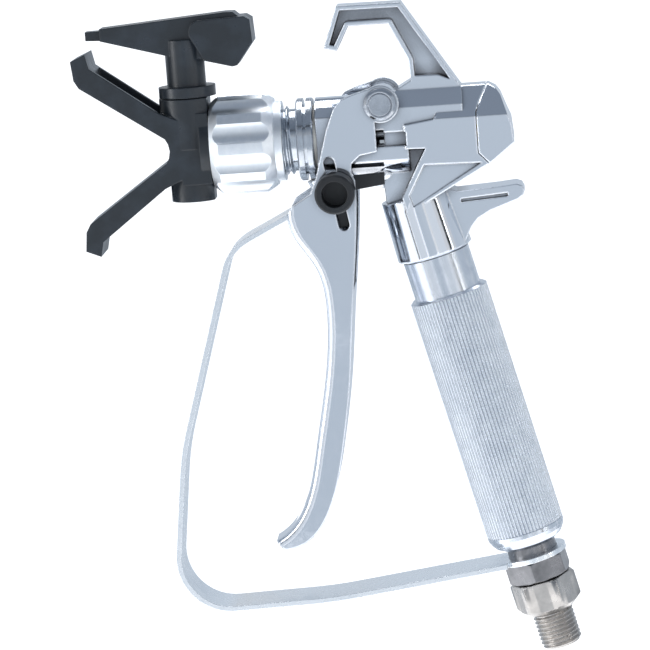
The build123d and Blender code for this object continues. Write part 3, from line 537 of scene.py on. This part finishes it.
class SPRAYER_OT_hose_fittings(Operator):
    """Stainless hexes and the hose thread as a real helix."""
    bl_idname = "sprayer.hose_fittings"
    bl_label = "Hose fittings"

    def execute(self, context):
        threads = context.scene.sprayer_threads
        steel = turned_metal("turned_stainless", context.scene.sprayer_finish.steel, "#A9A6A3",
                             0.22, 0.36, 0.35, -HANDLE_LEAN, "Z", 0.01, 0.45)
        dress(["inlet_fitting"], turned_metal("dull_nickel_plate", "#8B8B8E", "#737477",
                                              0.24, 0.38, 0.35, -HANDLE_LEAN, "Z", 0.01, 0.45))
        half = frame["record"]["mounts"][0]["dims"]["length_mm"] / 2 + 0.4
        start = DOWN * -(half * MM)
        body = copy_cut_at("hose_swivel", "swivel_hex", start + DOWN * 0.02 * MM, DOWN)
        thread = screw_thread("hose_thread_helix", start, DOWN, 2 * half * MM, threads.hose_radius,
                              threads.hose_pitch, 0.82 * MM, 0.9 * MM,
                              [(-1 * MM, 2 * half * MM + 1 * MM, 3.0 * MM)], threads.per_turn)
        for piece in (body, thread):
            piece.data.materials.clear()
            piece.data.materials.append(steel)
            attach(piece, "swivel")
            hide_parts("hose_swivel")
        return {"FINISHED"}


class SPRAYER_OT_guard_thread(Operator):
    """Seat housing with the real thread that takes the tip guard's nut."""
    bl_idname = "sprayer.guard_thread"
    bl_label = "Guard thread"

    def execute(self, context):
        threads = context.scene.sprayer_threads
        low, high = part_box("seat_housing")
        ring_front = by_barrel(-31.6, 0, 0)
        steel = turned_metal("bright_turned_steel", "#CDD2D8", "#B4BAC2", 0.14, 0.24, 0.9, 0.0, "X",
                             0.002, 0.12)
        front = Vector((-1, 0, 0))
        bore, stub, groove, flange = 5.2, 8.2, 11.3, 13.3
        rear = Vector((high.x, ring_front.y, ring_front.z))
        body = turned_piece("seat_housing_rings", rear, front, (
            (0, bore), (0, stub), (4.0, stub), (4.0, flange - 0.5), (4.5, flange), (6.2, flange),
            (6.2, groove), (7.3, groove), (7.3, flange), (9.0, flange), (9.5, flange - 0.5),
            (9.5, 10.0), (9.6, 10.0), (9.6, bore)))
        start = ring_front + front * 0.08 * MM
        length = start.x - low.x
        thread = screw_thread("seat_housing_thread", start, front, length, threads.guard_radius,
                              threads.guard_pitch, 1.05 * MM, 1.6 * MM,
                              [(-1 * MM, length + 1 * MM, 3.3 * MM), (-1 * MM, 4.0 * MM, 5.2 * MM)],
                              threads.per_turn)
        for piece in (body, thread):
            piece.data.materials.clear()
            piece.data.materials.append(steel)
            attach(piece, "gun")
            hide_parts("seat_housing")
        return {"FINISHED"}


class SPRAYER_OT_stage(Operator):
    """Pale floor, soft studio light and the camera."""
    bl_idname = "sprayer.stage"
    bl_label = "Stage"

    def execute(self, context):
        studio = context.scene.sprayer_studio
        low, high = CAD_BOX
        self.add_floor(studio, low.z - 0.4)
        self.add_lights(context, studio, (low + high) / 2)
        self.add_camera(context, studio)
        context.scene.view_settings.view_transform = "Standard"
        return {"FINISHED"}

    def add_floor(self, studio, height):
        """A wide sheet of pale paper with a faint tooth."""
        deselect()
        bpy.ops.mesh.primitive_plane_add(size=60.0, location=(0, 0, height))
        floor = bpy.context.active_object
        floor.name = "paper_floor"
        material, tree = start_material("backdrop_paper")
        place = add_node(tree, "ShaderNodeTexCoord").outputs["Object"]
        tooth = add_node(tree, "ShaderNodeTexNoise", {"Scale": 900.0, "Detail": 2.0}, {"Vector": place})
        bump = add_node(tree, "ShaderNodeBump", {"Strength": 0.1, "Distance": 0.05 * MM},
                        {"Height": tooth.outputs["Fac"]})
        shader = add_node(tree, "ShaderNodeBsdfPrincipled",
                          {"Base Color": linear(studio.paper), "Roughness": 0.9,
                           "Emission Color": (1, 1, 1, 1), "Emission Strength": 0.95},
                          {"Normal": bump.outputs["Normal"]})
        floor.data.materials.append(finish_material(material, tree, shader))

    def add_lights(self, context, studio, middle):
        """An even grey fill, a big softbox overhead and two strip boxes at the sides."""
        world = bpy.data.worlds.new("studio_fill")
        world.use_nodes = True
        tree = world.node_tree
        tree.nodes.clear()
        heading = add_node(tree, "ShaderNodeTexCoord").outputs["Generated"]
        height = add_node(tree, "ShaderNodeSeparateXYZ", links={"Vector": heading}).outputs["Z"]
        rise = spread(tree, height, 0.02, 0.55, 0.0, 1.0)
        sky = add_node(tree, "ShaderNodeBackground", {"Strength": studio.sky},
                       {"Color": blend_colours(tree, "#F6F8FA", "#8C97A6", rise)})
        add_node(tree, "ShaderNodeOutputWorld", links={"Surface": sky.outputs["Background"]})
        context.scene.world = world
        boxes = (
            ("overhead_softbox", Vector((-0.1, 0.5, 1.05)), 1.1, 0.6, studio.softbox),
            ("left_strip", Vector((-1.2, -0.5, 0.35)), 0.25, 1.3, studio.softbox * 0.45),
            ("right_strip", Vector((1.15, -0.75, 0.4)), 0.22, 1.2, studio.softbox * 0.35),
        )
        for name, offset, width, height, power in boxes:
            light = bpy.data.lights.new(name, "AREA")
            light.shape = "RECTANGLE"
            light.size, light.size_y = width, height
            light.energy = power
            holder = bpy.data.objects.new(name, light)
            context.scene.collection.objects.link(holder)
            holder.location = middle + offset
            holder.rotation_euler = (-offset).to_track_quat("-Z", "Y").to_euler()
        self.add_cards(middle)

    def lit_card(self, name, first, second):
        """A softly lit grey card with a cloudy tone, which flat chrome mirrors as its own colour."""
        material, tree = start_material(name)
        place = add_node(tree, "ShaderNodeTexCoord").outputs["Object"]
        fibre = add_node(tree, "ShaderNodeTexNoise", {"Scale": 3.0}, {"Vector": place})
        shader = add_node(tree, "ShaderNodeBsdfPrincipled",
                          {"Base Color": (0, 0, 0, 1), "Roughness": 1.0, "Emission Strength": 1.0},
                          {"Emission Color": blend_colours(tree, first, second, fibre.outputs["Fac"])})
        return finish_material(material, tree, shader)

    def add_cards(self, middle):
        """Cards for the chrome to mirror: black ones draw dark lines, grey ones tone flat faces."""
        black, tree = start_material("black_card")
        place = add_node(tree, "ShaderNodeTexCoord").outputs["Object"]
        fibre = add_node(tree, "ShaderNodeTexNoise", {"Scale": 40.0}, {"Vector": place})
        shader = add_node(tree, "ShaderNodeBsdfPrincipled", {"Roughness": 0.9},
                          {"Base Color": blend_colours(tree, "#050506", "#0B0B0D",
                                                       fibre.outputs["Fac"])})
        finish_material(black, tree, shader)
        cards = (
            ("flag_left", Vector((-0.75, -0.75, 0.1)), (0.07, 1.2), Vector((0.75, 0.75, 0))),
            ("flag_right", Vector((0.8, -0.55, 0.1)), (0.14, 1.2), Vector((-0.8, 0.55, 0))),
            ("flag_top", Vector((0.0, -0.75, 0.75)), (1.4, 0.10), Vector((0, 0.75, -0.75))),
        )
        grey = self.lit_card("grey_card", "#B6C2D0", "#CDD6E0")
        pale = self.lit_card("pale_card", "#D8E0E9", "#E6EBF1")
        cards += (("grey_front", Vector((-0.02, -1.1, -0.05)), (0.5, 0.86), Vector((0, 1, 0))),)
        for turn, reach, width in ((-29, 1.1, 0.46), (29, 1.1, 0.46), (90, 0.8, 0.52), (130, 0.8, 0.52),
                                   (170, 0.8, 0.52), (210, 0.8, 0.52), (250, 0.8, 0.52)):
            away = Vector((sin(radians(turn)), -cos(radians(turn)), 0))
            tone = "pale" if abs(turn) < 45 else "grey"
            cards += ((f"{tone}_{turn}", away * reach, (width, 1.0), -away),)
        for name, offset, (width, height), facing in cards:
            deselect()
            bpy.ops.mesh.primitive_plane_add(size=1.0)
            card = bpy.context.active_object
            card.name = name
            card.data.transform(Matrix.Diagonal((width, height, 1, 1)))
            turned = facing.to_track_quat("Z", "Y").to_matrix().to_4x4()
            card.data.transform(Matrix.Translation(middle + offset) @ turned)
            tone = name.split("_")[0]
            card.data.materials.append({"grey": grey, "pale": pale}.get(tone, black))
            card.visible_camera = False
            card.visible_shadow = False
            card.visible_diffuse = False

    def add_camera(self, context, studio):
        """A long lens, level with the trigger's height and looking a little down."""
        azimuth, elevation, roll = studio.azimuth, studio.elevation, studio.roll
        back = Vector((sin(azimuth) * cos(elevation), -cos(azimuth) * cos(elevation), sin(elevation)))
        right = Vector((cos(azimuth), sin(azimuth), 0))
        up = back.cross(right)
        across = right * cos(roll) - up * sin(roll)
        upward = right * sin(roll) + up * cos(roll)
        centre = by_barrel(-5.3, 0, 0) - across * 0.01773 - upward * 0.06159
        camera_data = bpy.data.cameras.new("studio_camera")
        camera_data.lens = studio.lens
        camera_data.sensor_width = 36.0
        camera_data.clip_start = 0.05
        camera = bpy.data.objects.new("studio_camera", camera_data)
        context.scene.collection.objects.link(camera)
        axes = Matrix((across, upward, back)).transposed().to_4x4()
        camera.matrix_world = Matrix.Translation(centre + back * studio.distance) @ axes
        context.scene.camera = camera


class SPRAYER_PT_panel(Panel):
    """Lists the sprayer's steps and settings."""
    bl_idname = "SPRAYER_PT_panel"
    bl_label = "Airless Paint Sprayer"
    bl_space_type = "VIEW_3D"
    bl_region_type = "UI"
    bl_category = "Sprayer"

    def draw(self, context):
        for step in STEPS:
            self.layout.operator(step.bl_idname)
        scene = context.scene
        for group in (scene.sprayer_finish, scene.sprayer_threads, scene.sprayer_studio):
            box = self.layout.box()
            for name in group.bl_rna.properties.keys():
                if name not in ("rna_type", "name"):
                    box.prop(group, name)


STEPS = (
    SPRAYER_OT_castings, SPRAYER_OT_handle, SPRAYER_OT_nut, SPRAYER_OT_plastics, SPRAYER_OT_strip,
    SPRAYER_OT_inner_parts, SPRAYER_OT_hose_fittings, SPRAYER_OT_guard_thread, SPRAYER_OT_stage,
)
GROUPS = (SprayerFinish, SprayerThreads, SprayerStudio)


def register():
    """Register the settings, the steps and the panel."""
    for item in GROUPS + STEPS + (SPRAYER_PT_panel,):
        bpy.utils.register_class(item)
    bpy.types.Scene.sprayer_finish = PointerProperty(type=SprayerFinish)
    bpy.types.Scene.sprayer_threads = PointerProperty(type=SprayerThreads)
    bpy.types.Scene.sprayer_studio = PointerProperty(type=SprayerStudio)


def unregister():
    """Take everything away again."""
    del bpy.types.Scene.sprayer_finish
    del bpy.types.Scene.sprayer_threads
    del bpy.types.Scene.sprayer_studio
    for item in reversed(GROUPS + STEPS + (SPRAYER_PT_panel,)):
        bpy.utils.unregister_class(item)


def main():
    """Run every step in order."""
    register()
    for step in STEPS:
        area, name = step.bl_idname.split(".")
        getattr(getattr(bpy.ops, area), name)()


if __name__ == "__main__":
    main()
